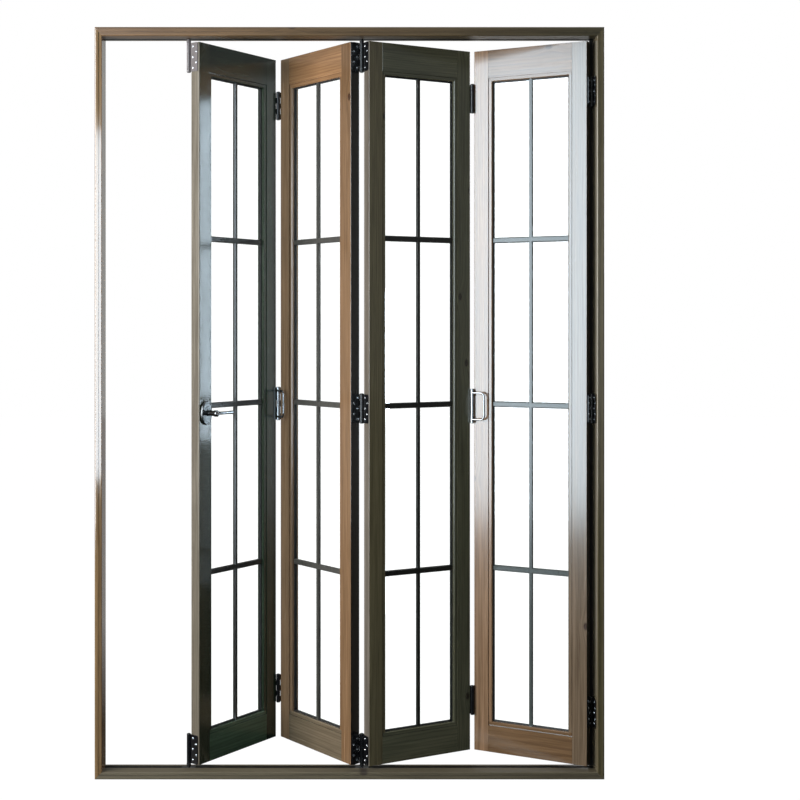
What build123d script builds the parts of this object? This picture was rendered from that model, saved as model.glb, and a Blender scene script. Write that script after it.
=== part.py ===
from build123d import *
import os

# Frame: four mitred timber members of one moulding, the head deeper in face than the rest.
FRAME_WIDTH = 1470.0
FRAME_HEIGHT = 2170.0
FRAME_DEPTH = 70.0
FRAME_FACE = 21.0
HEAD_FACE = 26.0
FRAME_ARRIS_ROUND = 4.0
REVEAL_ARRIS_EASE = 1.5
FACE_GROOVE_WIDTH = 3.0
FACE_GROOVE_DEPTH = 2.0
FACE_GROOVE_SHARE = 0.6

# Fold: the angle between each leaf and the frame's face, in degrees.
FAR_FOLD = 26.5
NEAR_FOLD = 51.9

# Leaves: stiles full height, rails butted between them, a stepped bead around the sight opening.
LEAF_COUNT = 4
LEAF_THICKNESS = 32.0
LEAF_ARRIS_ROUND = 2.0
STILE_WIDTH = 56.0
TOP_RAIL_HEIGHT = 94.0
BOTTOM_RAIL_HEIGHT = 90.5
RAIL_END_EASE = 0.6
BEAD_WIDTH = 11.5
BEAD_RECESS = 2.0
BEAD_BEVEL = 2.0
QUIRK_WIDTH = 2.0
QUIRK_DEPTH = 2.5
TOP_CLEARANCE = 11.0
BOTTOM_CLEARANCE = 12.0
FREE_EDGE_GAP = 16.0
LEAF_GAP = 7.0
JAMB_GAP = 6.0

# Glazing: one sheet to a leaf, held between two rubber gaskets in a groove.
GLASS_THICKNESS = 4.0
GASKET_THICKNESS = 3.0
GASKET_LIP = 3.0
GLASS_BITE = 8.0
GLASS_EDGE_CLEARANCE = 1.0
BAR_DEPTH = 4.5
UPRIGHT_BAR = (12.0, 8.0)
CROSS_BAR = (17.0, 12.0)
CROSS_BAR_SHARES = (0.240, 0.496, 0.752)

# Hinges: knuckles on a pin, flaps planted on the leaves' end edges.
KNUCKLE_RADIUS = 6.0
KNUCKLE_COUNT = 5
KNUCKLE_CLEARANCE = 0.2
PIN_RADIUS = 3.5
PIN_CLEARANCE = 0.15
PIN_HEAD_HEIGHT = 2.0
PIN_HEAD_ROUND = 1.6
FLAP_THICKNESS = 2.5
FLAP_WIDTH = 26.0
FLAP_SETBACK = 1.5
FLAP_CORNER_ROUND = 5.0
HINGE_HEIGHT = 84.0
UPPER_HINGE_INSET = 100.0
LOWER_HINGE_INSET = 108.0
MIDDLE_HINGE_CENTRE = 1034.0

# Track in the head and guide channel in the sill, both flush with the timber.
TRACK_LINE = 14.0
CHANNEL_WALL = 1.6
CHANNEL_DEPTH = 12.0
TRACK_WIDTH = 24.0
TRACK_SLOT = 10.0
GUIDE_WIDTH = 18.0
CARRIAGE_LENGTH = 44.0
CARRIAGE_HEIGHT = 6.0
CARRIAGE_CLEARANCE = 1.0
SHOE_LENGTH = 40.0
SHOE_ROUND = 4.5
SHOE_CLEARANCE = 0.3
CARRIER_KNUCKLE_RADIUS = 7.5
COLLAR_RADIUS = 6.5
COLLAR_GAP = 3.0
COLLAR_EASE = 1.0

# Rubber seal down the reveal of the hinge jamb, its foot pushed into a kerf.
SEAL_LINE = 32.0
SEAL_REACH = 11.0
SEAL_THICKNESS = 5.0
SEAL_NOSE_ROUND = 2.2
KERF_WIDTH = 2.5
KERF_DEPTH = 4.0

# Pull handles: a loop of round rod on the middle hinge, swung out from the leaf's face in degrees.
PULL_HINGE_HEIGHT = 100.0
PULL_REACH = 42.0
PULL_ROD_RADIUS = 3.0
PULL_BEND_RADIUS = 12.0
PULL_STAND_OFF = 4.0
PULL_SWING = 9.0

# Lever handle on the free stile of leaf 1.
LEVER_HEIGHT = 1021.0
LEVER_BACKSET = 26.5
ROSE_WIDTH = 44.0
ROSE_HEIGHT = 70.0
ROSE_THICKNESS = 8.0
ROSE_EDGE_ROUND = 3.0
NECK_RADIUS = 8.0
NECK_CLEARANCE = 0.3
HUB_RADIUS = 9.5
HUB_LENGTH = 17.0
HUB_ROUND = 4.5
LEVER_STAND_OFF = 42.0
LEVER_LENGTH = 72.0
LEVER_ROOT = (6.0, 6.0)
LEVER_WAIST = (4.5, 4.5)
LEVER_TIP = (5.0, 5.5)
LEVER_TIP_ROUND = 2.5

# Sizes that follow from the ones above.
HALF_GAP = LEAF_GAP / 2
PIN_PROUD = KNUCKLE_RADIUS
OPENING_WIDTH = FRAME_WIDTH - 2 * FRAME_FACE
OPENING_HEIGHT = FRAME_HEIGHT - FRAME_FACE - HEAD_FACE
LEAF_WIDTH = (OPENING_WIDTH - FREE_EDGE_GAP) / LEAF_COUNT - LEAF_GAP
LEAF_HEIGHT = OPENING_HEIGHT - TOP_CLEARANCE - BOTTOM_CLEARANCE
LEAF_FOOT = FRAME_FACE + BOTTOM_CLEARANCE
LEAF_TOP = LEAF_FOOT + LEAF_HEIGHT
PULL_HINGE_FOOT = LEAF_FOOT + MIDDLE_HINGE_CENTRE - PULL_HINGE_HEIGHT / 2
SIGHT_WIDTH = LEAF_WIDTH - 2 * STILE_WIDTH
RAIL_LENGTH = SIGHT_WIDTH + 2 * BEAD_WIDTH
SIGHT_HEIGHT = LEAF_HEIGHT - TOP_RAIL_HEIGHT - BOTTOM_RAIL_HEIGHT
GROOVE_WIDTH = GLASS_THICKNESS + 2 * GASKET_THICKNESS
GROOVE_DEPTH = GLASS_BITE + GLASS_EDGE_CLEARANCE
EVEN_KNUCKLES = range(0, KNUCKLE_COUNT, 2)
ODD_KNUCKLES = range(1, KNUCKLE_COUNT, 2)
SIGHT_CENTRE = Pos(LEAF_WIDTH / 2, LEAF_THICKNESS / 2, BOTTOM_RAIL_HEIGHT + SIGHT_HEIGHT / 2)
RAILS = ((0, BOTTOM_RAIL_HEIGHT), (LEAF_HEIGHT - TOP_RAIL_HEIGHT, TOP_RAIL_HEIGHT))


def frame_member(length, face, low_face, high_face):
    """Frame member standing on its outer mitre point: x runs from the outer side to the reveal, and
    each end is mitred to the face of the member that it meets."""
    section = Pos(face / 2, 0) * Rectangle(face, FRAME_DEPTH)
    front_corners = section.vertices().sort_by(Axis.Y)[:2].sort_by(Axis.X)
    section = fillet(front_corners[0], FRAME_ARRIS_ROUND)
    front_corners = section.vertices().sort_by(Axis.Y)[:2].sort_by(Axis.X)
    section = chamfer(front_corners[-1], REVEAL_ARRIS_EASE)
    groove = Rectangle(FACE_GROOVE_WIDTH, 2 * FACE_GROOVE_DEPTH)
    section -= Pos(FACE_GROOVE_SHARE * face, -FRAME_DEPTH / 2) * groove
    bar = extrude(section, amount=length)
    corners = ((0, 0), (0, length), (face, length - high_face), (face, low_face))
    mitred = Plane.XZ * Polygon(*corners, align=None)
    return bar & extrude(mitred, amount=FRAME_DEPTH, both=True)


def channel_recess(width, face):
    """Recess in the reveal of the head or sill, cut to the channel that lies in it."""
    recess = Box(CHANNEL_DEPTH, width, OPENING_WIDTH)
    return Pos(face - CHANNEL_DEPTH / 2, TRACK_LINE, FRAME_WIDTH / 2) * recess


def head_track():
    """Aluminium channel with two inward lips, open slot downwards."""
    section = Rectangle(TRACK_WIDTH, CHANNEL_DEPTH)
    section -= Rectangle(TRACK_WIDTH - 2 * CHANNEL_WALL, CHANNEL_DEPTH - 2 * CHANNEL_WALL)
    section -= Pos(0, -CHANNEL_DEPTH / 2) * Rectangle(TRACK_SLOT, CHANNEL_DEPTH)
    height = FRAME_HEIGHT - HEAD_FACE + CHANNEL_DEPTH / 2
    return Pos(0, TRACK_LINE, height) * extrude(Plane.YZ * section, amount=OPENING_WIDTH / 2, both=True)


def sill_guide():
    """Aluminium channel open upwards, for the guide shoes."""
    section = Rectangle(GUIDE_WIDTH, CHANNEL_DEPTH)
    section -= Pos(0, CHANNEL_WALL) * Rectangle(GUIDE_WIDTH - 2 * CHANNEL_WALL, CHANNEL_DEPTH)
    height = FRAME_FACE - CHANNEL_DEPTH / 2
    return Pos(0, TRACK_LINE, height) * extrude(Plane.YZ * section, amount=OPENING_WIDTH / 2, both=True)


def jamb_seal():
    """Seal's blade with a round nose, and its foot in the jamb's kerf."""
    blade = Pos(-SEAL_REACH / 2, 0) * Rectangle(SEAL_REACH, SEAL_THICKNESS)
    blade = fillet(blade.vertices().sort_by(Axis.X)[:2], SEAL_NOSE_ROUND)
    foot = Pos(KERF_DEPTH / 2, 0) * Rectangle(KERF_DEPTH, KERF_WIDTH)
    return Pos(OPENING_WIDTH / 2, SEAL_LINE, FRAME_FACE) * extrude(blade + foot, amount=OPENING_HEIGHT)


def sight_outline(margin):
    """Outline of the sight opening, widened by a margin on every side."""
    return Rectangle(SIGHT_WIDTH + 2 * margin, SIGHT_HEIGHT + 2 * margin)


def sight_space():
    """Space inside stiles and rails: sight opening, glass groove, and on each face the step down to
    the bead, the quirk behind the bead and the bevel on its inner arris."""
    space = Box(SIGHT_WIDTH, LEAF_THICKNESS, SIGHT_HEIGHT)
    space += Box(SIGHT_WIDTH + 2 * GROOVE_DEPTH, GROOVE_WIDTH, SIGHT_HEIGHT + 2 * GROOVE_DEPTH)
    step = sight_outline(BEAD_WIDTH)
    quirk = step - sight_outline(BEAD_WIDTH - QUIRK_WIDTH)
    for side in (-1, 1):
        face = Plane(origin=(0, side * LEAF_THICKNESS / 2, 0), x_dir=(1, 0, 0), z_dir=(0, -side, 0))
        bead_face = face.offset(BEAD_RECESS)
        space += extrude(face * step, amount=BEAD_RECESS)
        space += extrude(bead_face * quirk, amount=QUIRK_DEPTH)
        space += extrude(bead_face * sight_outline(BEAD_BEVEL), amount=BEAD_BEVEL, taper=45)
    return SIGHT_CENTRE * space


def stile(edge):
    """Full-height stile at the leaf's left (-1) or right (1) edge, its outer arrises rounded, cut back
    where the rails meet it."""
    blank = Box(STILE_WIDTH, LEAF_THICKNESS, LEAF_HEIGHT)
    outer = blank.edges().filter_by(Axis.Z).sort_by(Axis.X)
    blank = fillet(outer[:2] if edge < 0 else outer[-2:], LEAF_ARRIS_ROUND)
    middle = LEAF_WIDTH / 2 + edge * (LEAF_WIDTH - STILE_WIDTH) / 2
    blank = Pos(middle, LEAF_THICKNESS / 2, LEAF_HEIGHT / 2) * blank
    for foot, height in RAILS:
        blank -= rail_place(foot, height) * Box(RAIL_LENGTH, LEAF_THICKNESS, height)
    return blank - sight_space()


def rail_place(foot, height):
    """Centre of a rail, given its foot and height."""
    return Pos(LEAF_WIDTH / 2, LEAF_THICKNESS / 2, foot + height / 2)


def rail(foot, height):
    """Rail between the stiles, its end arrises eased so that the butt joints show as fine lines."""
    blank = Box(RAIL_LENGTH, LEAF_THICKNESS, height)
    blank = chamfer(blank.edges().filter_by(Axis.Z), RAIL_END_EASE)
    return rail_place(foot, height) * blank - sight_space()


def glass_sheet():
    """Sheet that fills the groove but for its edge clearance."""
    sheet = Box(SIGHT_WIDTH + 2 * GLASS_BITE, GLASS_THICKNESS, SIGHT_HEIGHT + 2 * GLASS_BITE)
    return SIGHT_CENTRE * sheet


def gaskets():
    """Front and rear rubber gaskets between the glass and the groove's walls."""
    ring = Rectangle(SIGHT_WIDTH + 2 * GLASS_BITE, SIGHT_HEIGHT + 2 * GLASS_BITE)
    ring -= Rectangle(SIGHT_WIDTH - 2 * GASKET_LIP, SIGHT_HEIGHT - 2 * GASKET_LIP)
    band = extrude(Plane.XZ * ring, amount=GASKET_THICKNESS / 2, both=True)
    middle = (GLASS_THICKNESS + GASKET_THICKNESS) / 2
    return [SIGHT_CENTRE * Pos(0, side * middle, 0) * band for side in (-1, 1)]


def glazing_bar(width, nose, length):
    """Bar standing on z, centred, its broad side on the plane y = 0 and its narrow nose outwards."""
    corners = ((-width / 2, 0), (width / 2, 0), (nose / 2, BAR_DEPTH), (-nose / 2, BAR_DEPTH))
    return extrude(Polygon(*corners, align=None), amount=length / 2, both=True)


def glazing_grid(side):
    """Bars on the front (-1) or rear (1) of the glass: one upright, and a cross bar between rows."""
    grid = glazing_bar(*UPRIGHT_BAR, SIGHT_HEIGHT)
    cross = Rot(0, 90, 0) * glazing_bar(*CROSS_BAR, SIGHT_WIDTH)
    for share in CROSS_BAR_SHARES:
        grid += Pos(0, 0, share * SIGHT_HEIGHT - SIGHT_HEIGHT / 2) * cross
    turn = Rot(0, 0, 0 if side > 0 else 180)
    grid = SIGHT_CENTRE * Pos(0, side * GLASS_THICKNESS / 2, 0) * turn * grid
    for band in gaskets():
        grid -= band
    return grid


def hinge_flap(x_side, y_side, height, knuckles, radius=KNUCKLE_RADIUS, gap=HALF_GAP):
    """Hinge flap with its pin axis on z and its foot at zero, planted on an edge at x_side * gap."""
    x_middle = x_side * (gap - FLAP_THICKNESS / 2)
    reach = radius + FLAP_SETBACK
    plate = Box(FLAP_THICKNESS, FLAP_WIDTH, height)
    free_corners = plate.edges().filter_by(Axis.X).group_by(Axis.Y)[-1 if y_side > 0 else 0]
    plate = fillet(free_corners, FLAP_CORNER_ROUND)
    flap = Pos(x_middle, y_side * (reach + FLAP_WIDTH / 2), height / 2) * plate
    pitch = height / KNUCKLE_COUNT
    for index in knuckles:
        level = (index + 0.5) * pitch
        flap += Pos(0, 0, level) * Cylinder(radius, pitch - 2 * KNUCKLE_CLEARANCE)
        tab = Box(FLAP_THICKNESS, reach, pitch - 2 * KNUCKLE_CLEARANCE)
        flap += Pos(x_middle, y_side * reach / 2, level) * tab
    return flap - Pos(0, 0, height / 2) * Cylinder(PIN_RADIUS + PIN_CLEARANCE, height)


def pin_head():
    """Low domed head, its flat side on z = 0."""
    head = Pos(0, 0, PIN_HEAD_HEIGHT / 2) * Cylinder(KNUCKLE_RADIUS - PIN_CLEARANCE, PIN_HEAD_HEIGHT)
    return fillet(head.edges().sort_by(Axis.Z)[-1], PIN_HEAD_ROUND)


def hinge_pin(foot, top):
    """Pin between two heights above the hinge's foot."""
    return Pos(0, 0, (foot + top) / 2) * Cylinder(PIN_RADIUS, top - foot)


def plain_pin(height):
    """Pin with a domed head at both ends."""
    return hinge_pin(0, height) + Pos(0, 0, height) * pin_head() + Rot(180, 0, 0) * pin_head()


def upright_axis(location):
    """The same place with its turn undone."""
    return Pos(location.position.X, location.position.Y, location.position.Z)


def hinge_leaves(axis, foot, left_turn, right_turn, y_side, radius=KNUCKLE_RADIUS, gap=HALF_GAP):
    """Both flaps of a hinge: the left one has the odd knuckles, the right one the even ones and the
    given gap between its edge and the pin axis."""
    place = axis * Pos(0, 0, foot)
    left = place * Rot(0, 0, left_turn) * hinge_flap(-1, y_side, HINGE_HEIGHT, ODD_KNUCKLES, radius)
    right = place * Rot(0, 0, right_turn) * hinge_flap(1, y_side, HINGE_HEIGHT, EVEN_KNUCKLES, radius, gap)
    return left, right


def butt_hinge(axis, foot, left_turn, right_turn, y_side, radius=KNUCKLE_RADIUS, gap=HALF_GAP):
    """Whole hinge: two flaps and the pin."""
    left, right = hinge_leaves(axis, foot, left_turn, right_turn, y_side, radius, gap)
    return [left, right, axis * Pos(0, 0, foot) * plain_pin(HINGE_HEIGHT)]


def collar(height):
    """Thick collar of a carrier or guide pin, standing on z = 0."""
    blank = Pos(0, 0, height / 2) * Cylinder(COLLAR_RADIUS, height)
    return chamfer(blank.edges().filter_by(GeomType.CIRCLE), COLLAR_EASE)


def carrier_pin(axis):
    """Pin of a top carrier, running up through its collar to the carriage on the track's lips."""
    foot = LEAF_TOP - HINGE_HEIGHT
    lips = FRAME_HEIGHT - HEAD_FACE + CHANNEL_WALL
    width = TRACK_WIDTH - 2 * CHANNEL_WALL - 2 * CARRIAGE_CLEARANCE
    carriage = Box(CARRIAGE_LENGTH, width, CARRIAGE_HEIGHT)
    carriage = chamfer(carriage.edges().filter_by(Axis.Z), CARRIAGE_CLEARANCE)
    pin = Pos(0, 0, foot) * (hinge_pin(0, lips - foot) + Rot(180, 0, 0) * pin_head())
    pin += Pos(0, 0, LEAF_TOP) * collar(TOP_CLEARANCE - COLLAR_GAP)
    return axis * (pin + Pos(0, 0, lips + CARRIAGE_HEIGHT / 2) * carriage)


def guide_pin(axis):
    """Pin of a bottom guide, running down through its collar to the shoe in the sill's channel."""
    top = LEAF_FOOT + HINGE_HEIGHT
    floor = FRAME_FACE - CHANNEL_DEPTH + CHANNEL_WALL
    width = GUIDE_WIDTH - 2 * CHANNEL_WALL - 2 * SHOE_CLEARANCE
    height = CHANNEL_DEPTH - CHANNEL_WALL - 2 * SHOE_CLEARANCE
    shoe = Box(SHOE_LENGTH, width, height)
    shoe = fillet(shoe.edges().filter_by(Axis.Z), SHOE_ROUND)
    pin = hinge_pin(floor + height, top) + Pos(0, 0, top) * pin_head()
    pin += Pos(0, 0, FRAME_FACE + COLLAR_GAP) * collar(BOTTOM_CLEARANCE - COLLAR_GAP)
    return axis * (pin + Pos(0, 0, floor + SHOE_CLEARANCE + height / 2) * shoe)


def pull_handle(axis, turn):
    """Hinge flap with a boss at each end knuckle, and a D-shaped loop of round rod between them."""
    handle = hinge_flap(1, 1, PULL_HINGE_HEIGHT, EVEN_KNUCKLES)
    pitch = PULL_HINGE_HEIGHT / KNUCKLE_COUNT
    low, high = pitch / 2, PULL_HINGE_HEIGHT - pitch / 2
    for level in (low, high):
        boss = Cylinder(PULL_ROD_RADIUS + PULL_STAND_OFF, pitch - 2 * KNUCKLE_CLEARANCE)
        handle += Pos(0, 0, level) * boss
    corners = ((0, low), (PULL_REACH, low), (PULL_REACH, high), (0, high))
    path = Plane.XZ * FilletPolyline(*corners, radius=PULL_BEND_RADIUS)
    loop = sweep(Plane(path @ 0, z_dir=path % 0) * Circle(PULL_ROD_RADIUS), path=path)
    handle += Rot(0, 0, -PULL_SWING) * Pos(0, -PULL_STAND_OFF, 0) * loop
    handle -= Pos(0, 0, PULL_HINGE_HEIGHT / 2) * Cylinder(PIN_RADIUS + PIN_CLEARANCE, PULL_HINGE_HEIGHT)
    return axis * Pos(0, 0, PULL_HINGE_FOOT) * Rot(0, 0, turn) * handle


def middle_hinge(axis, left_turn):
    """Plain flap and pin of the hinge that carries a pull handle."""
    place = axis * Pos(0, 0, PULL_HINGE_FOOT)
    flap = hinge_flap(-1, 1, PULL_HINGE_HEIGHT, ODD_KNUCKLES)
    return [place * Rot(0, 0, left_turn) * flap, place * plain_pin(PULL_HINGE_HEIGHT)]


def lever_rose():
    """Oval rose on z = 0, bored for the lever's neck."""
    rose = extrude(Ellipse(ROSE_WIDTH / 2, ROSE_HEIGHT / 2), amount=ROSE_THICKNESS)
    rose = fillet(rose.edges().sort_by(Axis.Z)[-1], ROSE_EDGE_ROUND)
    return rose - Cylinder(NECK_RADIUS + NECK_CLEARANCE, ROSE_HEIGHT)


def lever_handle():
    """Neck in the rose's bore, a domed hub and a tapering grip that ends in a rounded tip."""
    neck_length = LEVER_STAND_OFF - NECK_CLEARANCE
    neck = Pos(0, 0, NECK_CLEARANCE + neck_length / 2) * Cylinder(NECK_RADIUS, neck_length)
    hub = Pos(0, 0, LEVER_STAND_OFF) * Cylinder(HUB_RADIUS, HUB_LENGTH)
    hub = fillet(hub.edges().filter_by(GeomType.CIRCLE), HUB_ROUND)
    sections = []
    stations = ((0, LEVER_ROOT), (LEVER_LENGTH / 2, LEVER_WAIST), (LEVER_LENGTH, LEVER_TIP))
    for reach, (depth, rise) in stations:
        station = Plane(origin=(reach, 0, LEVER_STAND_OFF), x_dir=(0, 0, 1), z_dir=(1, 0, 0))
        sections.append(station * Ellipse(depth, rise))
    grip = loft(sections)
    grip = fillet(grip.edges().sort_by(Axis.X)[-1], LEVER_TIP_ROUND)
    return neck + hub + grip


# Plan of the fold, worked out from the jamb hinge towards the free end.
jamb_axis = Pos(OPENING_WIDTH / 2 - JAMB_GAP, TRACK_LINE, 0)
near_right = Pos(-LEAF_WIDTH - HALF_GAP, -LEAF_THICKNESS - PIN_PROUD, LEAF_FOOT)
far_right = Pos(-LEAF_WIDTH - HALF_GAP, PIN_PROUD, LEAF_FOOT)
far_left = Pos(-HALF_GAP, -PIN_PROUD, -LEAF_FOOT)
near_left = Pos(-HALF_GAP, LEAF_THICKNESS + PIN_PROUD, -LEAF_FOOT)

leaf_4 = jamb_axis * Rot(0, 0, -FAR_FOLD) * near_right
far_axis = upright_axis(leaf_4 * far_left)
leaf_3 = far_axis * Rot(0, 0, FAR_FOLD) * far_right
middle_axis = upright_axis(leaf_3 * near_left)
leaf_2 = middle_axis * Rot(0, 0, -NEAR_FOLD) * near_right
near_axis = upright_axis(leaf_2 * far_left)
leaf_1 = near_axis * Rot(0, 0, NEAR_FOLD) * far_right
free_axis = upright_axis(leaf_1 * near_left)
lever_place = leaf_1 * Pos(LEVER_BACKSET, 0, LEVER_HEIGHT) * Rot(90, 0, 0)

os.makedirs("parts", exist_ok=True)
parts = {}

post = frame_member(FRAME_HEIGHT, FRAME_FACE, FRAME_FACE, HEAD_FACE)
head_bar = frame_member(FRAME_WIDTH, HEAD_FACE, FRAME_FACE, FRAME_FACE)
sill_bar = frame_member(FRAME_WIDTH, FRAME_FACE, FRAME_FACE, FRAME_FACE)
left_post = Pos(-FRAME_WIDTH / 2, 0, 0) * post
parts["frame_jamb_left"] = left_post
kerf = Box(KERF_DEPTH, KERF_WIDTH, OPENING_HEIGHT)
kerf = Pos((OPENING_WIDTH + KERF_DEPTH) / 2, SEAL_LINE, FRAME_FACE + OPENING_HEIGHT / 2) * kerf
parts["frame_jamb_right"] = mirror(left_post, about=Plane.YZ) - kerf
parts["jamb_seal"] = jamb_seal()
head_blank = head_bar - channel_recess(TRACK_WIDTH, HEAD_FACE)
sill_blank = sill_bar - channel_recess(GUIDE_WIDTH, FRAME_FACE)
parts["frame_head"] = Pos(-FRAME_WIDTH / 2, 0, FRAME_HEIGHT) * Rot(0, 90, 0) * head_blank
parts["frame_sill"] = Pos(FRAME_WIDTH / 2, 0, 0) * Rot(0, -90, 0) * sill_blank
parts["head_track"] = head_track()
parts["sill_guide"] = sill_guide()

leaf_places = {"leaf_1": leaf_1, "leaf_2": leaf_2, "leaf_3": leaf_3, "leaf_4": leaf_4}
leaf_pieces = {
    "stile_left": stile(-1),
    "stile_right": stile(1),
    "rail_bottom": rail(*RAILS[0]),
    "rail_top": rail(*RAILS[1]),
    "glass": glass_sheet(),
    "glazing_bars": Compound([glazing_grid(-1), glazing_grid(1)]),
}
for leaf, place in leaf_places.items():
    for piece, solid in leaf_pieces.items():
        parts[f"{leaf}_{piece}"] = place * solid
parts["glazing_gaskets"] = Compound([place * band for place in leaf_places.values() for band in gaskets()])

upper_foot = LEAF_TOP - UPPER_HINGE_INSET - HINGE_HEIGHT
lower_foot = LEAF_FOOT + LOWER_HINGE_INSET
middle_foot = LEAF_FOOT + MIDDLE_HINGE_CENTRE - HINGE_HEIGHT / 2
for name, axis, fold in (("1_2", near_axis, NEAR_FOLD), ("3_4", far_axis, FAR_FOLD)):
    pieces = butt_hinge(axis, upper_foot, fold, -fold, 1)
    pieces += butt_hinge(axis, lower_foot, fold, -fold, 1)
    parts[f"hinges_{name}"] = Compound(pieces)
    parts[f"pull_handle_{name}"] = Compound([pull_handle(axis, -fold), *middle_hinge(axis, fold)])

middle_pieces = butt_hinge(middle_axis, middle_foot, -NEAR_FOLD, FAR_FOLD, -1, CARRIER_KNUCKLE_RADIUS)
parts["hinge_2_3"] = Compound(middle_pieces)
top_foot = LEAF_TOP - HINGE_HEIGHT
carrier_flaps = hinge_leaves(middle_axis, top_foot, -NEAR_FOLD, FAR_FOLD, -1, CARRIER_KNUCKLE_RADIUS)
guide_flaps = hinge_leaves(middle_axis, LEAF_FOOT, -NEAR_FOLD, FAR_FOLD, -1, CARRIER_KNUCKLE_RADIUS)
parts["carrier_2_3"] = Compound([*carrier_flaps, carrier_pin(middle_axis)])
parts["guide_2_3"] = Compound([*guide_flaps, guide_pin(middle_axis)])

end_flap = Rot(0, 0, NEAR_FOLD) * hinge_flap(1, -1, HINGE_HEIGHT, range(KNUCKLE_COUNT))
parts["carrier_1"] = Compound([free_axis * Pos(0, 0, top_foot) * end_flap, carrier_pin(free_axis)])
parts["guide_1"] = Compound([free_axis * Pos(0, 0, LEAF_FOOT) * end_flap, guide_pin(free_axis)])

jamb_hinges = []
for foot in (upper_foot, middle_foot, lower_foot):
    jamb_hinges += butt_hinge(jamb_axis, foot, -FAR_FOLD, 0, -1, gap=JAMB_GAP)
parts["hinges_jamb"] = Compound(jamb_hinges)

parts["lever_rose"] = lever_place * lever_rose()
parts["lever_handle"] = lever_place * lever_handle()

for name, solid in parts.items():
    export_step(solid, f"parts/{name}.step")
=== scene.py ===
import math

import bpy
import numpy as np
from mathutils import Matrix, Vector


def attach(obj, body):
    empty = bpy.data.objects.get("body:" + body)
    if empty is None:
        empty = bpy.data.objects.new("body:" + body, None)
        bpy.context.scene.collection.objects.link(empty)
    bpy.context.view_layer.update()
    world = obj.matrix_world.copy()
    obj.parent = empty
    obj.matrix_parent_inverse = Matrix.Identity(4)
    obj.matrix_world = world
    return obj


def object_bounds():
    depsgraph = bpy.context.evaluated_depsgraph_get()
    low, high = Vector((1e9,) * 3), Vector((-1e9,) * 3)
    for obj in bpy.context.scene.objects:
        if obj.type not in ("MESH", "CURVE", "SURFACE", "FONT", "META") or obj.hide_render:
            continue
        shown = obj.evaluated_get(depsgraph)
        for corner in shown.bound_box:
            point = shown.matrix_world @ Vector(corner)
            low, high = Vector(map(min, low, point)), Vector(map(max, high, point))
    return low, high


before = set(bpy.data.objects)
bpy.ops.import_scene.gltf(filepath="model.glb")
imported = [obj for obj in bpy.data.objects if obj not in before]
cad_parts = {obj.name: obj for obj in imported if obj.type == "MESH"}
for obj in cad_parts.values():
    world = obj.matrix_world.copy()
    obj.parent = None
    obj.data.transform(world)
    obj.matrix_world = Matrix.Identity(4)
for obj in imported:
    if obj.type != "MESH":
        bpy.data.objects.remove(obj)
cad_low, cad_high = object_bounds()

# Fold of the four leaves
# The set is hung from the right jamb and folds away from the room. Every leaf stands at its own turn,
# and its grain, knots and screws follow that turn, so the plan of the fold is worked out first.
FAR_FOLD = math.radians(26.5)
NEAR_FOLD = math.radians(51.9)
LEAF_WIDTH = 0.346
LEAF_THICKNESS = 0.032
HALF_GAP = 0.0035
PIN_PROUD = 0.006
JAMB_GAP = 0.006
TRACK_LINE = 0.014
FRAME_FACE = 0.021
LEAF_FOOT, LEAF_TOP = 0.033, 2.133

LEAF_TURNS = {1: NEAR_FOLD, 2: -NEAR_FOLD, 3: FAR_FOLD, 4: -FAR_FOLD}


def turned(point, turn):
    """A plan point turned about the origin by an angle in radians."""
    x, y = point
    return np.array([x * math.cos(turn) - y * math.sin(turn), x * math.sin(turn) + y * math.cos(turn)])


jamb_axis = np.array([cad_high[0] - FRAME_FACE - JAMB_GAP, TRACK_LINE])
near_corner = (-LEAF_WIDTH - HALF_GAP, -LEAF_THICKNESS - PIN_PROUD)
far_corner = (-LEAF_WIDTH - HALF_GAP, PIN_PROUD)
leaf_corner = {4: jamb_axis + turned(near_corner, LEAF_TURNS[4])}
far_axis = leaf_corner[4] + turned((-HALF_GAP, -PIN_PROUD), LEAF_TURNS[4])
leaf_corner[3] = far_axis + turned(far_corner, LEAF_TURNS[3])
middle_axis = leaf_corner[3] + turned((-HALF_GAP, LEAF_THICKNESS + PIN_PROUD), LEAF_TURNS[3])
leaf_corner[2] = middle_axis + turned(near_corner, LEAF_TURNS[2])
near_axis = leaf_corner[2] + turned((-HALF_GAP, -PIN_PROUD), LEAF_TURNS[2])
leaf_corner[1] = near_axis + turned(far_corner, LEAF_TURNS[1])
free_axis = leaf_corner[1] + turned((-HALF_GAP, LEAF_THICKNESS + PIN_PROUD), LEAF_TURNS[1])

# Frame and leaves in stained softwood
# Knotty redwood pine, planed, stained walnut brown and finished with satin varnish. The stiles and
# jambs run full height with upright grain, and the rails, head and sill have level grain.
# The real growth rings and fibres are too fine to show here, so both are drawn coarser.
RING_SPACING = 0.007
BROAD_WIDTH = 0.060
STREAK_WIDTH = 0.010
FINE_WIDTH = 0.0035
DRAWN_OUT = 0.035
BROAD_SHARE = 0.40
FINE_SHARE = 0.25
PITH_PLACE = (0.02, 0.06, 0.0)
LATEWOOD_SHARE = 0.45
KNOT_CELL = (0.17, 0.30)
KNOT_RADIUS = 0.007
KNOT_SHARE = 0.45
KNOT_DEPTH = 0.8
KNOT_PUSH = 0.010
# In knot radii: where a knot's colour fades out, and how far out it pushes the streaks.
KNOT_FADE = (0.5, 1.3)
KNOT_REACH = 6
RELIEF_DEPTH = 0.0005
STAIN_DARK = "#573f2a"
STAIN_MIDDLE = "#785a3d"
STAIN_LIGHT = "#8f6c4b"
LATEWOOD = "#553b27"
KNOT_COLOUR = "#33190e"
LEAF_GLOSS = (0.18, 0.28)
COAT_GLOSS = 0.8

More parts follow.
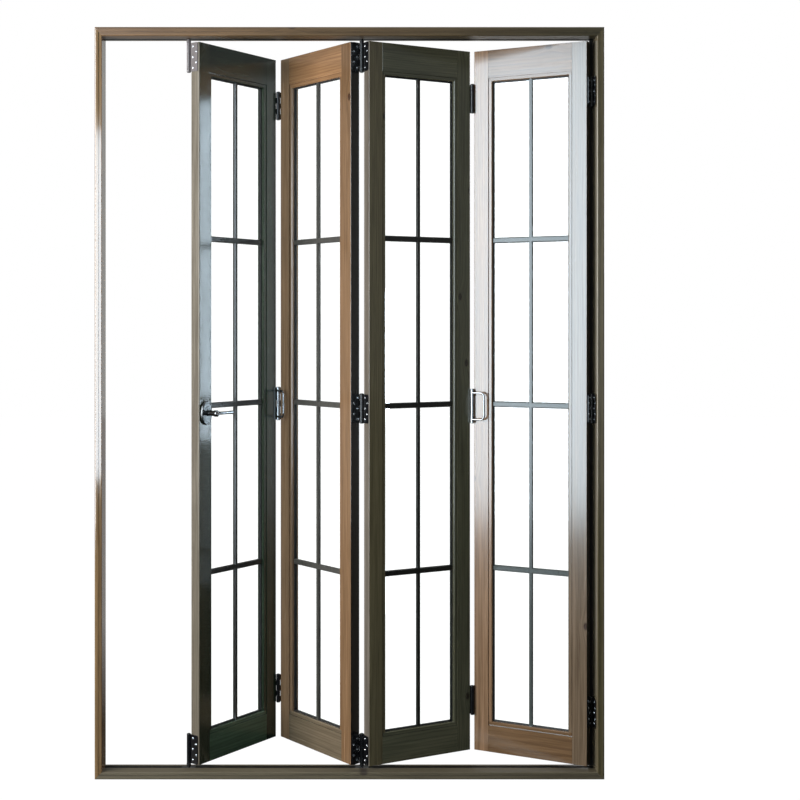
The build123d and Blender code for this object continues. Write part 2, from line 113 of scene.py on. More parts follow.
# A tone multiplies the stain of one piece as painted light and shade, so that it looks as deep from the
# front as the real piece does in its light. The head deepens to the right as painted shade, and the varnish
# of head and sill is duller.
FRAME_FINISH_AND_SHADE = {
    "frame_jamb_left": {"tone": (0.82, 0.90, 0.90), "gloss": (0.08, 0.14)},
    "frame_jamb_right": {"tone": (0.54, 0.78, 0.84), "gloss": (0.14, 0.22)},
    "frame_head": {"tone": (0.78, 0.72, 0.54), "gloss": (0.40, 0.50), "coat": 0.30,
                   "far_shade_tone": (0.28, 0.42, 0.40)},
    "frame_sill": {"tone": (0.46, 0.66, 0.80), "gloss": (0.55, 0.65), "coat": 0.12},
}
# Painted shade: leaves 1 and 3, which face away from the lamps, are darkened and greened.
LEAF_SHADE_TONES = {1: (0.16, 0.34, 0.38), 2: (1.00, 1.00, 1.00), 3: (0.45, 0.77, 0.98), 4: (0.90, 0.95, 1.10)}
# Painted light and shade, piece by piece, where a piece stands in more or less light than its leaf.
PIECE_SHADE_TONES = {
    (1, "rail_top"): (0.06, 0.20, 0.22), (1, "stile_right"): (0.08, 0.24, 0.28),
    (1, "rail_bottom"): (0.34, 1.00, 1.25),
    (2, "rail_top"): (1.25, 1.20, 1.20), (2, "stile_left"): (0.90, 1.00, 1.20),
    (2, "stile_right"): (0.88, 0.88, 0.92), (2, "rail_bottom"): (0.70, 0.95, 1.30),
    (3, "stile_left"): (0.62, 0.90, 1.00),
    (4, "stile_left"): (1.35, 1.40, 1.60), (4, "stile_right"): (0.70, 0.85, 1.10),
    (4, "rail_bottom"): (0.75, 0.75, 0.75),
}
# The varnish of the leaves has its full weight, but for this piece.
PIECE_COATS = {(4, "rail_top"): 0.74}

# The end faces of the leaves listed here and the jambs' reveals have a tone of their own and thin varnish,
# within this distance of their plane: painted shade that leaves the ends of leaves 2 and 4 nearly black,
# and painted light that makes the ends of leaves 1 and 3 and both reveals paler.
EDGE_BAND = 0.0012
EDGE_COAT = 0.15
EDGE_SHADE_TONES = {
    (1, "stile_left"): (0.62, 0.94, 1.50), (2, "stile_right"): (0.02, 0.03, 0.05),
    (3, "stile_left"): (0.66, 1.00, 1.70), (4, "stile_right"): (0.02, 0.03, 0.05),
}
# Painted light: the jambs' reveals lie in shade and are made paler.
PAINTED_REVEAL_LIGHT = {
    "frame_jamb_left": (cad_low[0] + FRAME_FACE, (1.6, 1.6, 1.6)),
    "frame_jamb_right": (cad_high[0] - FRAME_FACE, (0.8, 1.15, 1.5)),
}


def linear(hex_colour):
    """Linear RGBA of an sRGB hex colour, by the sRGB curve."""
    srgb = np.array([int(hex_colour[i:i + 2], 16) for i in (1, 3, 5)]) / 255
    rgb = np.where(srgb <= 0.04045, srgb / 12.92, ((srgb + 0.055) / 1.055) ** 2.4)
    return (*(float(c) for c in rgb), 1.0)


def add(tree, kind, inputs, **settings):
    """Add a node. Settings are its properties, and inputs gives a value or an output for each socket."""
    made = tree.nodes.new("ShaderNode" + kind)
    for name, value in settings.items():
        setattr(made, name, value)
    for socket, value in inputs.items():
        if isinstance(value, bpy.types.NodeSocket):
            tree.links.new(value, made.inputs[socket])
        else:
            made.inputs[socket].default_value = value
    return made


def new_material(name):
    """An empty node material and its tree."""
    material = bpy.data.materials.new(name)
    material.use_nodes = True
    material.node_tree.nodes.clear()
    return material, material.node_tree


def end_with(tree, shader, **sockets):
    """Send a shader to the material's surface."""
    add(tree, "OutputMaterial", {"Surface": shader, **sockets})


def stained_and_shaded_pine(name, turn, level_grain, seed, tone, gloss=LEAF_GLOSS, coat=1.0, closing=None,
                 far_shade_tone=None):
    """Planed and stained pine with satin varnish: broad tone, streaks and fine lines drawn out along
    the grain, thin latewood rings, a few knots that push the streaks aside, and a varnish whose gloss
    follows the streaks faintly. The stain is multiplied by tone, which is painted light and shade, and
    which runs to a far tone of painted shade at the right end of the frame. Gloss is the varnish's least
    and greatest roughness, and coat is its weight. Closing is the plane of an edge, along the piece's own
    x, and the painted light and shade tone of that edge."""
    material, tree = new_material(name)
    place = add(tree, "TexCoord", {})
    to_leaf = add(tree, "Mapping", {"Vector": place.outputs["Object"], "Rotation": (0, 0, -turn)})
    shift = np.random.default_rng(seed).uniform(-4, 4, 3)
    to_grain = add(tree, "Mapping", {
        "Vector": to_leaf.outputs[0],
        "Rotation": (0, -math.pi / 2 if level_grain else 0, 0),
        "Location": tuple(shift),
    })
    axes = add(tree, "SeparateXYZ", {0: to_grain.outputs[0]})
    across = add(tree, "Math", {0: axes.outputs[0], 1: 1 / KNOT_CELL[0]}, operation="MULTIPLY")
    along = add(tree, "Math", {0: axes.outputs[2], 1: 1 / KNOT_CELL[1]}, operation="MULTIPLY")
    knot_plane = add(tree, "CombineXYZ", {0: across.outputs[0], 1: along.outputs[0]})
    knots = add(tree, "TexVoronoi", {"Vector": knot_plane.outputs[0], "Scale": 1.0},
                voronoi_dimensions="2D")
    lot = add(tree, "SeparateColor", {0: knots.outputs["Color"]})
    present = add(tree, "Math", {0: lot.outputs[0], 1: KNOT_SHARE}, operation="LESS_THAN")
    edge = KNOT_RADIUS / KNOT_CELL[0]
    heart = add(tree, "MapRange", {
        "Value": knots.outputs["Distance"], "From Min": edge * KNOT_FADE[0],
        "From Max": edge * KNOT_FADE[1], "To Min": KNOT_DEPTH, "To Max": 0.0},
        interpolation_type="SMOOTHSTEP")
    knot = add(tree, "Math", {0: heart.outputs[0], 1: present.outputs[0]}, operation="MULTIPLY")
    push = add(tree, "MapRange", {
        "Value": knots.outputs["Distance"], "From Min": 0.0, "From Max": edge * KNOT_REACH,
        "To Min": KNOT_PUSH, "To Max": 0.0}, interpolation_type="SMOOTHERSTEP")
    moved = add(tree, "Math", {0: push.outputs[0], 1: present.outputs[0]}, operation="MULTIPLY")
    bent = add(tree, "Math", {0: axes.outputs[0], 1: moved.outputs[0]}, operation="ADD")
    drawn = add(tree, "Math", {0: axes.outputs[2], 1: DRAWN_OUT}, operation="MULTIPLY")
    flow = add(tree, "CombineXYZ", {0: bent.outputs[0], 1: axes.outputs[1], 2: drawn.outputs[0]})
    broad = add(tree, "TexNoise", {"Vector": flow.outputs[0], "Scale": 1 / BROAD_WIDTH, "Detail": 2.0})
    streaks = add(tree, "TexNoise", {
        "Vector": flow.outputs[0], "Scale": 1 / STREAK_WIDTH, "Detail": 4.0, "Roughness": 0.65,
        "Distortion": 0.4})
    fine = add(tree, "TexNoise", {
        "Vector": flow.outputs[0], "Scale": 1 / FINE_WIDTH, "Detail": 3.0, "Roughness": 0.6})
    pith = add(tree, "Mapping", {"Vector": flow.outputs[0], "Location": PITH_PLACE})
    rings = add(tree, "TexWave", {
        "Vector": pith.outputs[0], "Scale": math.pi / 10 / RING_SPACING, "Distortion": 6.0,
        "Detail": 2.0, "Detail Scale": 1.2, "Detail Roughness": 0.6},
        wave_type="RINGS", rings_direction="Z", wave_profile="SAW")
    grain = add(tree, "Mix", {0: BROAD_SHARE, 2: streaks.outputs["Fac"], 3: broad.outputs["Fac"]})
    grain = add(tree, "Mix", {0: FINE_SHARE, 2: grain.outputs[0], 3: fine.outputs["Fac"]})
    colour = add(tree, "ValToRGB", {0: grain.outputs[0]})
    stops = colour.color_ramp.elements
    stops[0].position, stops[0].color = 0.32, linear(STAIN_DARK)
    stops[1].position, stops[1].color = 0.68, linear(STAIN_LIGHT)
    stops.new(0.50).color = linear(STAIN_MIDDLE)
    late = add(tree, "MapRange", {
        "Value": rings.outputs["Fac"], "From Min": 0.6, "From Max": 1.0, "To Min": 0.0,
        "To Max": LATEWOOD_SHARE})
    ringed = add(tree, "Mix", {0: late.outputs[0], 6: colour.outputs[0], 7: linear(LATEWOOD)},
                 data_type="RGBA")
    shade = add(tree, "Mix", {0: knot.outputs[0], 6: ringed.outputs[2], 7: linear(KNOT_COLOUR)},
                data_type="RGBA")
    # Painted light and shade: the piece's tone, its run to a darker tone at the frame's right end, and an
    # edge's tone.
    shade_tone_here = (*tone, 1.0)
    plan = add(tree, "SeparateXYZ", {0: to_leaf.outputs[0]})
    if far_shade_tone:
        far_shade_mask = add(tree, "MapRange", {
            "Value": plan.outputs[0], "From Min": float(cad_low[0]), "From Max": float(cad_high[0])})
        shade_tone_here = add(tree, "Mix", {0: far_shade_mask.outputs[0], 6: shade_tone_here, 7: (*far_shade_tone, 1.0)},
                        data_type="RGBA").outputs[2]
    if closing:
        plane, edge_shade_tone = closing
        on_edge = add(tree, "Math", {0: plan.outputs[0], 1: plane, 2: EDGE_BAND}, operation="COMPARE")
        shade_tone_here = add(tree, "Mix", {0: on_edge.outputs[0], 6: shade_tone_here, 7: (*edge_shade_tone, 1.0)},
                        data_type="RGBA").outputs[2]
        coat = add(tree, "Mix", {0: on_edge.outputs[0], 2: coat, 3: EDGE_COAT}).outputs[0]
    stain = add(tree, "Mix", {0: 1.0, 6: shade.outputs[2], 7: shade_tone_here},
                data_type="RGBA", blend_type="MULTIPLY")
    varnish = add(tree, "MapRange", {
        "Value": streaks.outputs["Fac"], "From Min": 0.3, "From Max": 0.7,
        "To Min": gloss[0], "To Max": gloss[1]})
    relief = add(tree, "Bump", {"Height": grain.outputs[0], "Strength": 0.2, "Distance": RELIEF_DEPTH})
    shader = add(tree, "BsdfPrincipled", {
        "Base Color": stain.outputs[2], "Roughness": varnish.outputs[0], "IOR": 1.5,
        "Coat Weight": coat, "Coat Roughness": gloss[0] * COAT_GLOSS, "Normal": relief.outputs[0]})
    end_with(tree, shader.outputs[0])
    return material


def dress(name, material):
    """Give a CAD node its one finish."""
    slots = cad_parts[name].data.materials
    slots.clear()
    slots.append(material)


for seed, (name, finish) in enumerate(FRAME_FINISH_AND_SHADE.items()):
    level_grain = name in ("frame_head", "frame_sill")
    dress(name, stained_and_shaded_pine(f"stained_and_shaded_pine_{name}", 0.0, level_grain, seed,
                             closing=PAINTED_REVEAL_LIGHT.get(name), **finish))

for leaf, turn in LEAF_TURNS.items():
    left_plane = turned(leaf_corner[leaf], -turn)[0]
    planes = {"stile_left": left_plane, "stile_right": left_plane + LEAF_WIDTH}
    for seed, piece in enumerate(("stile_left", "stile_right", "rail_top", "rail_bottom")):
        spot = (leaf, piece)
        tone = PIECE_SHADE_TONES.get(spot, LEAF_SHADE_TONES[leaf])
        closing = (planes[piece], EDGE_SHADE_TONES[spot]) if spot in EDGE_SHADE_TONES else None
        name = f"leaf_{leaf}_{piece}"
        dress(name, stained_and_shaded_pine(f"stained_and_shaded_pine_{name}", turn, "rail" in piece, 10 * leaf + seed, tone,
                                 coat=PIECE_COATS.get(spot, 1.0), closing=closing))

# Glazing
# Each leaf has one sheet of clear float glass in black rubber gaskets, with moulded timber bars
# planted on both faces. The bars are stained darker than their leaf, from nearly black to dark grey:
# nearly black on leaves 1 and 3, which face away from the lamps, as painted shade, and dark grey on
# leaves 2 and 4 as painted light.
GLASS_TINT = "#fbfdfc"
RUBBER = "#0b0b0c"
RUBBER_GLOSS = (0.45, 0.7)
# Painted shade and light: the bars of leaves 1 and 3 nearly black, those of leaves 2 and 4 grey.
BAR_STAINS_AND_SHADE = {1: ("#0e0d0b", "#26241f"), 2: ("#2e2b28", "#4d4a44"), 3: ("#0e0d0b", "#26241f"),
              4: ("#2c302d", "#474c48")}
BAR_GLOSS = (0.22, 0.4)
BAR_COAT, BAR_COAT_GLOSS = 0.35, 0.16
BAR_DRAWN_OUT = 0.05
# Grain of 1.1 mm on the rubber and streaks of 3.8 mm on the bars. The real ones are too fine to show.
RUBBER_GRAIN = 1 / 900
BAR_STREAK = 1 / 260


def float_glass():
    """Clear, smooth and faintly green glass that lets the lamps' light through."""
    material, tree = new_material("float_glass")
    glass = add(tree, "BsdfPrincipled", {
        "Base Color": linear(GLASS_TINT), "Roughness": 0.0, "IOR": 1.5, "Transmission Weight": 1.0})
    clear = add(tree, "BsdfTransparent", {"Color": linear(GLASS_TINT)})
    rays = add(tree, "LightPath", {})
    both = add(tree, "MixShader", {
        0: rays.outputs["Is Shadow Ray"], 1: glass.outputs[0], 2: clear.outputs[0]})
    end_with(tree, both.outputs[0])
    return material


def extruded_rubber():
    """Black extruded rubber with a fine dull skin."""
    material, tree = new_material("extruded_rubber")
    place = add(tree, "TexCoord", {})
    skin = add(tree, "TexNoise", {
        "Vector": place.outputs["Object"], "Scale": 1 / RUBBER_GRAIN, "Detail": 2.0})
    rough = add(tree, "MapRange", {
        "Value": skin.outputs["Fac"], "To Min": RUBBER_GLOSS[0], "To Max": RUBBER_GLOSS[1]})
    relief = add(tree, "Bump", {"Height": skin.outputs["Fac"], "Strength": 0.2, "Distance": 0.0002})
    shader = add(tree, "BsdfPrincipled", {
        "Base Color": linear(RUBBER), "Roughness": rough.outputs[0], "Normal": relief.outputs[0]})
    end_with(tree, shader.outputs[0])
    return material


def stained_and_shaded_bar(name, turn, dark, light):
    """Narrow moulded bar, stained between a dark and a light colour in fine upright streaks."""
    material, tree = new_material(name)
    place = add(tree, "TexCoord", {})
    drawn = add(tree, "Mapping", {
        "Vector": place.outputs["Object"], "Rotation": (0, 0, -turn), "Scale": (1, 1, BAR_DRAWN_OUT)})
    streaks = add(tree, "TexNoise", {"Vector": drawn.outputs[0], "Scale": 1 / BAR_STREAK, "Detail": 3.0})
    colour = add(tree, "Mix", {0: streaks.outputs["Fac"], 6: linear(dark), 7: linear(light)},
                 data_type="RGBA")
    rough = add(tree, "MapRange", {
        "Value": streaks.outputs["Fac"], "To Min": BAR_GLOSS[0], "To Max": BAR_GLOSS[1]})
    relief = add(tree, "Bump", {"Height": streaks.outputs["Fac"], "Strength": 0.2, "Distance": 0.0003})
    shader = add(tree, "BsdfPrincipled", {
        "Base Color": colour.outputs[2], "Roughness": rough.outputs[0], "Coat Weight": BAR_COAT,
        "Coat Roughness": BAR_COAT_GLOSS, "Normal": relief.outputs[0]})
    end_with(tree, shader.outputs[0])
    return material


pane = float_glass()
rubber = extruded_rubber()
dress("glazing_gaskets", rubber)
dress("jamb_seal", rubber)
for leaf, turn in LEAF_TURNS.items():
    dress(f"leaf_{leaf}_glass", pane)
    dress(f"leaf_{leaf}_glazing_bars", stained_and_shaded_bar(f"stained_and_shaded_bar_{leaf}", turn, *BAR_STAINS_AND_SHADE[leaf]))

# Hinges, carriers and guides
# Cast and pressed steel, powder-coated black, with the fine orange peel of a sprayed and baked coat.
# The carrier at the free end faces the lamps and is coated grey as a painted sheen on the black coat.
BLACK_COAT = "#0c0c0e"
PAINTED_SHEEN_COAT = "#625b5a"
PEEL_WIDTH = 1 / 700
PEEL_GLOSS = (0.18, 0.32)


def powder_coat(name, colour):
    """Baked powder coat: a low, even orange peel about 1.4 mm across."""
    material, tree = new_material(name)
    place = add(tree, "TexCoord", {})
    peel = add(tree, "TexNoise", {
        "Vector": place.outputs["Object"], "Scale": 1 / PEEL_WIDTH, "Detail": 2.0})
    rough = add(tree, "MapRange", {
        "Value": peel.outputs["Fac"], "To Min": PEEL_GLOSS[0], "To Max": PEEL_GLOSS[1]})
    relief = add(tree, "Bump", {"Height": peel.outputs["Fac"], "Strength": 0.3, "Distance": 0.0002})
    shader = add(tree, "BsdfPrincipled", {
        "Base Color": linear(colour), "Roughness": rough.outputs[0], "Normal": relief.outputs[0]})
    end_with(tree, shader.outputs[0])
    return material


black_coat = powder_coat("black_powder_coat", BLACK_COAT)
for name in ("hinges_1_2", "hinges_3_4", "hinge_2_3", "carrier_2_3", "guide_2_3", "guide_1", "hinges_jamb"):
    dress(name, black_coat)
# Painted sheen: the free carrier's coat is grey.
dress("carrier_1", powder_coat("painted_sheen_powder_coat", PAINTED_SHEEN_COAT))

# Hinge screws
# Bright zinc-plated steel, low domed heads with a cross recess. Every flap has three near the barrel
# and two between them near its free edge.
KNUCKLE_RADIUS = 0.006
CARRIER_KNUCKLE_RADIUS = 0.0075
FLAP_THICKNESS = 0.0025
FLAP_WIDTH = 0.026
FLAP_SETBACK = 0.0015
HINGE_HEIGHT = 0.084
PULL_HINGE_HEIGHT = 0.100
UPPER_HINGE_FOOT = LEAF_TOP - 0.100 - HINGE_HEIGHT
LOWER_HINGE_FOOT = LEAF_FOOT + 0.108
MIDDLE_HINGE_CENTRE = LEAF_FOOT + 1.034
SCREW_COLUMNS = ((0.27, (0.13, 0.50, 0.87)), (0.76, (0.315, 0.685)))
SCREW_SEGMENTS = 12
SCREW_PROFILE = ((0.0036, 0.0), (0.0034, 0.0007), (0.0027, 0.0012), (0.0019, 0.0014))
RECESS_MOUTH, RECESS_FLOOR, RECESS_DEPTH = 0.0015, 0.0011, 0.0009
RECESS_WAIST = 0.4
ZINC = "#cfd2d6"
ZINC_GLOSS = (0.15, 0.3)
# The real mottle is too fine to show, so it is drawn 1.1 mm wide.
MOTTLE_WIDTH = 1 / 900


def screw_head():
    """Corners, side faces and end faces of one head on the plane z = 0: rings of the dome, then a
    recess whose radius is full on four arms and drawn in between them. Each side face joins a corner
    of a ring and the next one to those above, and the end faces close the foot and the recess."""
    steps = np.arange(SCREW_SEGMENTS)
    angles = steps * 2 * math.pi / SCREW_SEGMENTS
    ring = np.stack([np.cos(angles), np.sin(angles)], axis=1)
    arms = np.where(steps % 3 == 0, 1.0, RECESS_WAIST)[:, None]
    top = SCREW_PROFILE[-1][1]
    levels = [(radius * ring, height) for radius, height in SCREW_PROFILE]
    levels += [(RECESS_MOUTH * arms * ring, top), (RECESS_FLOOR * arms * ring, top - RECESS_DEPTH)]
    corners = np.concatenate([
        np.column_stack([plan, np.full(SCREW_SEGMENTS, height)]) for plan, height in levels])
    low = SCREW_SEGMENTS * np.arange(len(levels) - 1)[:, None]
    high = low + SCREW_SEGMENTS
    after = np.roll(steps, -1)
    sides = np.stack([low + steps, low + after, high + after, high + steps], axis=2).reshape(-1, 4)
    ends = np.stack([steps[::-1], high[-1] + steps])
    return corners, sides, ends


def zinc_plate():
    """Bright zinc plate, slightly mottled in its gloss."""
    material, tree = new_material("bright_zinc_plate")
    place = add(tree, "TexCoord", {})
    mottle = add(tree, "TexNoise", {
        "Vector": place.outputs["Object"], "Scale": 1 / MOTTLE_WIDTH, "Detail": 2.0})
    rough = add(tree, "MapRange", {
        "Value": mottle.outputs["Fac"], "To Min": ZINC_GLOSS[0], "To Max": ZINC_GLOSS[1]})
    shader = add(tree, "BsdfPrincipled", {
        "Base Color": linear(ZINC), "Metallic": 1.0, "Roughness": rough.outputs[0]})
    end_with(tree, shader.outputs[0])
    return material


def plant_screws(name, flaps, material):
    """One piece of every screw head on the flaps, each flap given by its pin axis, turn, the side of
    the pin that it stands on, the side that it runs to, its foot, its height, its knuckle radius and
    the gap between its edge and the pin. The heads look back at the pin from the flap's open face."""
    corners, sides, ends = screw_head()
    heads = []
    for axis, turn, x_side, y_side, foot, height, radius, gap in flaps:
        for share, rows in SCREW_COLUMNS:
            for row in rows:
                out = y_side * (radius + FLAP_SETBACK + share * FLAP_WIDTH)
                local_x = x_side * (gap - FLAP_THICKNESS - corners[:, 2])
                local_y = out + x_side * corners[:, 1]
                x = axis[0] + local_x * math.cos(turn) - local_y * math.sin(turn)
                y = axis[1] + local_x * math.sin(turn) + local_y * math.cos(turn)
                z = foot + row * height + corners[:, 0]
                heads.append(np.stack([x, y, z], axis=1))
    # The faces of each head count on from the corners of the heads before it.
    starts = len(corners) * np.arange(len(heads))[:, None, None]
    faces = (starts + sides).reshape(-1, sides.shape[1]).tolist()
    faces += (starts + ends).reshape(-1, ends.shape[1]).tolist()
    mesh = bpy.data.meshes.new(name)
    mesh.from_pydata(np.concatenate(heads).tolist(), [], faces)
    mesh.materials.append(material)
    piece = bpy.data.objects.new(name, mesh)
    bpy.context.scene.collection.objects.link(piece)
    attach(piece, "door_set")


zinc = zinc_plate()
outer_feet = (UPPER_HINGE_FOOT, LOWER_HINGE_FOOT)
pull_foot = MIDDLE_HINGE_CENTRE - PULL_HINGE_HEIGHT / 2
middle_foot = MIDDLE_HINGE_CENTRE - HINGE_HEIGHT / 2
carrier_foot = LEAF_TOP - HINGE_HEIGHT
for name, axis, fold in (("screws_1_2", near_axis, NEAR_FOLD), ("screws_3_4", far_axis, FAR_FOLD)):
    flaps = [(axis, side * -fold, side, 1, foot, HINGE_HEIGHT, KNUCKLE_RADIUS, HALF_GAP)
             for side in (-1, 1) for foot in outer_feet]
    flaps += [(axis, side * -fold, side, 1, pull_foot, PULL_HINGE_HEIGHT, KNUCKLE_RADIUS, HALF_GAP)
              for side in (-1, 1)]
    plant_screws(name, flaps, zinc)
flaps = [(middle_axis, turn, side, -1, foot, HINGE_HEIGHT, CARRIER_KNUCKLE_RADIUS, HALF_GAP)
         for side, turn in ((-1, -NEAR_FOLD), (1, FAR_FOLD))
         for foot in (carrier_foot, middle_foot, LEAF_FOOT)]
plant_screws("screws_2_3", flaps, zinc)
flaps = [(free_axis, NEAR_FOLD, 1, -1, foot, HINGE_HEIGHT, KNUCKLE_RADIUS, HALF_GAP)
         for foot in (carrier_foot, LEAF_FOOT)]
plant_screws("screws_free_end", flaps, zinc)
flaps = [(jamb_axis, turn, side, -1, foot, HINGE_HEIGHT, KNUCKLE_RADIUS, gap)
         for side, turn, gap in ((-1, -FAR_FOLD, HALF_GAP), (1, 0.0, JAMB_GAP))
         for foot in (*outer_feet, middle_foot)]
plant_screws("screws_jamb", flaps, zinc)

# Handles
# Zinc castings, chrome plated: a polished lever on an oval rose of satin chrome, and a polished loop
# with its hinge in the middle of joints 1-2 and 3-4.
CHROME = "#8b8e91"
SATIN_CHROME = "#6f7274"
WIPE_WIDTH = 1 / 60
POLISHED = (0.04, 0.14)
SATIN = (0.22, 0.34)


def chrome_plate(name, colour, gloss):
    """Chrome plate with faint wipe marks, about 17 mm wide, that only its gloss shows. Gloss is its
    least and greatest roughness."""
    material, tree = new_material(name)
    place = add(tree, "TexCoord", {})
    wipes = add(tree, "TexNoise", {
        "Vector": place.outputs["Object"], "Scale": 1 / WIPE_WIDTH, "Detail": 3.0})
    rough = add(tree, "MapRange", {"Value": wipes.outputs["Fac"], "To Min": gloss[0], "To Max": gloss[1]})
    shader = add(tree, "BsdfPrincipled", {
        "Base Color": linear(colour), "Metallic": 1.0, "Roughness": rough.outputs[0]})
    end_with(tree, shader.outputs[0])
    return material


polished = chrome_plate("polished_chrome", CHROME, POLISHED)
for name in ("pull_handle_1_2", "pull_handle_3_4", "lever_handle"):
    dress(name, polished)
dress("lever_rose", chrome_plate("satin_chrome", SATIN_CHROME, SATIN))

# Track and guide channel
# Extruded aluminium, anodised satin grey, let into the head's soffit and the sill's top. The lines
# that the die leaves are too fine to show, so they are drawn 0.7 mm apart.
ANODISED = "#5a5853"
ANODISED_GLOSS = (0.28, 0.42)
LINE_SPACING = 1 / 1500
LINE_DRAWN_OUT = 0.02


def anodised_aluminium():
    """Satin anodised extrusion: fine lines drawn out along its length."""
    material, tree = new_material("anodised_aluminium")
    place = add(tree, "TexCoord", {})
    drawn = add(tree, "Mapping", {"Vector": place.outputs["Object"], "Scale": (LINE_DRAWN_OUT, 1, 1)})
    lines = add(tree, "TexNoise", {"Vector": drawn.outputs[0], "Scale": 1 / LINE_SPACING, "Detail": 2.0})
    rough = add(tree, "MapRange", {
        "Value": lines.outputs["Fac"], "To Min": ANODISED_GLOSS[0], "To Max": ANODISED_GLOSS[1]})
    shader = add(tree, "BsdfPrincipled", {
        "Base Color": linear(ANODISED), "Metallic": 1.0, "Roughness": rough.outputs[0]})
    end_with(tree, shader.outputs[0])
    return material


anodised = anodised_aluminium()
dress("head_track", anodised)
dress("sill_guide", anodised)

# Studio
# The floor and the backdrop are white to the camera, also through glass, and dim to all other light.
# Broad lamps light the set, and tall ones stand where the varnish mirrors them: two strips behind the
# joint of leaves 2 and 3 for leaf 1, and three lamps in front for leaf 4 and the two jambs.
FLOOR = "#2b2c2b"
FLOOR_SIZE = 30.0
WHITE = "#ffffff"
ROOM = "#b9cdd6"
ROOM_STRENGTH = 0.16
BACKDROP = "#eef2f1"
# Glass takes some of the white behind it, and this makes up for that.
WHITE_BEHIND_GLASS = 1.3
# How bright the room, the backdrop and the floor behind the set look in varnish and metal. The
# backdrop comes in between two values of a direction's y part and ends between two of its z part, and
# the floor comes in between two distances behind the set.
ROOM_IN_MIRROR, BACKDROP_IN_MIRROR, FLOOR_IN_MIRROR = 0.20, 0.62, 0.35
BACKDROP_SIDES = (0.75, 0.95)
BACKDROP_TOP = (0.20, 0.28)
FLOOR_BEHIND = (0.5, 2.0)
IMAGE_SIZE = 800
SENSOR = 36.0
FOCAL_PIXELS = 1332.2
CAMERA_PLACE = (-0.073, -3.874, 1.310)
OPTICAL_CENTRE = (324.2, 325.2)


def camera_look(tree):
    """One where the camera looks straight at a surface, a little more where it looks through glass,
    and nought for light that has met wood or metal; and beside it, one for what these mirror."""
    rays = add(tree, "LightPath", {})
    met = add(tree, "Math", {0: rays.outputs["Diffuse Depth"], 1: rays.outputs["Glossy Depth"]})
    fresh = add(tree, "Math", {0: met.outputs[0], 1: 0.5}, operation="LESS_THAN")
    through = add(tree, "Math", {0: rays.outputs["Is Transmission Ray"], 1: fresh.outputs[0]},
                  operation="MULTIPLY")
    through = add(tree, "Math", {0: through.outputs[0], 1: WHITE_BEHIND_GLASS}, operation="MULTIPLY")
    looked_at = add(tree, "Math", {0: rays.outputs["Is Camera Ray"], 1: through.outputs[0]},
                    operation="MAXIMUM")
    mirrored = add(tree, "Math", {0: rays.outputs["Glossy Depth"], 1: 0.5}, operation="GREATER_THAN")
    return looked_at.outputs[0], mirrored.outputs[0]


corners = FLOOR_SIZE / 2 * np.array([(-1, -1, 0), (1, -1, 0), (1, 1, 0), (-1, 1, 0)])
floor_mesh = bpy.data.meshes.new("floor")
floor_mesh.from_pydata(corners.tolist(), [], [(0, 1, 2, 3)])
floor = bpy.data.objects.new("floor", floor_mesh)
bpy.context.scene.collection.objects.link(floor)
floor_paint, floor_tree = new_material("floor_paint")
looked_at, in_mirror = camera_look(floor_tree)
floor_place = add(floor_tree, "TexCoord", {})
floor_plan = add(floor_tree, "SeparateXYZ", {0: floor_place.outputs["Object"]})
behind = add(floor_tree, "MapRange", {
    "Value": floor_plan.outputs[1], "From Min": FLOOR_BEHIND[0], "From Max": FLOOR_BEHIND[1],
    "To Min": 0.0, "To Max": FLOOR_IN_MIRROR})
mirrored = add(floor_tree, "Math", {0: behind.outputs[0], 1: in_mirror}, operation="MULTIPLY")
glow = add(floor_tree, "Math", {0: looked_at, 1: mirrored.outputs[0]}, operation="MAXIMUM")
floor_shader = add(floor_tree, "BsdfPrincipled", {
    "Base Color": linear(FLOOR), "Specular IOR Level": 0.0, "Emission Color": linear(WHITE),
    "Emission Strength": glow.outputs[0]})
end_with(floor_tree, floor_shader.outputs[0])
floor_mesh.materials.append(floor_paint)

world = bpy.data.worlds.new("white_room")
world.use_nodes = True
bpy.context.scene.world = world
room = world.node_tree
room.nodes.clear()
looked_at, in_mirror = camera_look(room)
direction = add(room, "TexCoord", {})
heading = add(room, "SeparateXYZ", {0: direction.outputs["Generated"]})
to_back = add(room, "MapRange", {
    "Value": heading.outputs[1], "From Min": BACKDROP_SIDES[0], "From Max": BACKDROP_SIDES[1]})
not_high = add(room, "MapRange", {
    "Value": heading.outputs[2], "From Min": BACKDROP_TOP[0], "From Max": BACKDROP_TOP[1],
    "To Min": BACKDROP_IN_MIRROR - ROOM_IN_MIRROR, "To Max": 0.0})
seen_back = add(room, "Math", {0: to_back.outputs[0], 1: not_high.outputs[0], 2: ROOM_IN_MIRROR},
                operation="MULTIPLY_ADD")
dim = add(room, "Background", {"Color": linear(ROOM), "Strength": ROOM_STRENGTH})
backdrop = add(room, "Background", {"Color": linear(BACKDROP), "Strength": seen_back.outputs[0]})
white = add(room, "Background", {"Color": linear(WHITE), "Strength": looked_at})
unseen = add(room, "MixShader", {0: in_mirror, 1: dim.outputs[0], 2: backdrop.outputs[0]})
direct = add(room, "Math", {0: looked_at, 1: 0.5}, operation="GREATER_THAN")
surround = add(room, "MixShader", {0: direct.outputs[0], 1: unseen.outputs[0], 2: white.outputs[0]})
add(room, "OutputWorld", {"Surface": surround.outputs[0]})


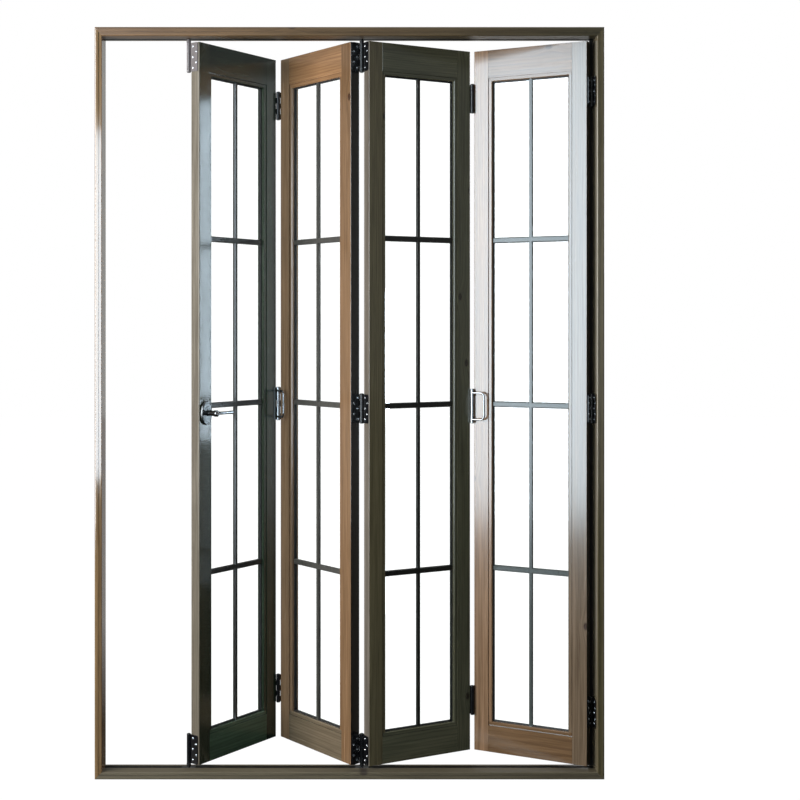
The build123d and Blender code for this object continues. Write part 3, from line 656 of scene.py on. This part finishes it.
def soft_lamp(name, place, aim, size, power, tint=WHITE):
    """A rectangular soft lamp at place, facing aim, that only lights and reflects."""
    lamp = bpy.data.lights.new(name, "AREA")
    lamp.shape = "RECTANGLE"
    lamp.size, lamp.size_y = size
    lamp.energy = power
    lamp.color = linear(tint)[:3]
    made = bpy.data.objects.new(name, lamp)
    bpy.context.scene.collection.objects.link(made)
    made.location = place
    back = np.array(place) - np.array(aim)
    made.rotation_mode = "QUATERNION"
    made.rotation_quaternion = Vector(back).to_track_quat("Z", "Y")
    made.visible_camera = False
    made.visible_transmission = False
    return made


soft_lamp("left_lamp", (-2.7, -1.30, 1.50), (0.1, 0.1, 1.15), (1.1, 2.3), 125)
soft_lamp("sheen_lamp", (-1.954, -2.525, 1.57), (0.546, 0.035, 1.30), (1.0, 2.75), 84, "#dff2ff")
for name, height, length, power in (("fold_lamp", 1.49, 1.12, 1.7), ("low_lamp", 0.69, 0.48, 0.045)):
    strip = soft_lamp(name, (0.10, 0.096, height), (-0.42, 0.015, height - 0.02), (0.06, length), power,
                      "#def0ff")
    # Leaf 1 mirrors the strips through the glass of leaf 2.
    strip.visible_transmission = True
soft_lamp("jamb_lamp", (-1.44, -4.2, 1.43), (-0.73, 0.0, 1.37), (0.34, 2.1), 24, "#e8f4ff")
soft_lamp("right_jamb_lamp", (1.26, -4.2, 1.22), (0.73, 0.0, 1.20), (0.34, 1.92), 5.0)
soft_lamp("back_lamp", (2.4, 4.0, 2.6), (0.1, 0.0, 1.2), (2.0, 2.0), 50)
soft_lamp("top_lamp", (0.2, -0.6, 4.4), (0.1, 0.0, 0.8), (2.4, 1.2), 20)

# The camera looks square at the frame, with its optical centre off the middle of the picture.
camera = bpy.data.cameras.new("camera")
camera.sensor_width = SENSOR
camera.lens = FOCAL_PIXELS / IMAGE_SIZE * SENSOR
camera.shift_x = (IMAGE_SIZE / 2 - OPTICAL_CENTRE[0]) / IMAGE_SIZE
camera.shift_y = (OPTICAL_CENTRE[1] - IMAGE_SIZE / 2) / IMAGE_SIZE
viewer = bpy.data.objects.new("camera", camera)
bpy.context.scene.collection.objects.link(viewer)
viewer.location = CAMERA_PLACE
viewer.rotation_euler = (math.pi / 2, 0, 0)
bpy.context.scene.camera = viewer
bpy.context.scene.view_settings.view_transform = "Standard"
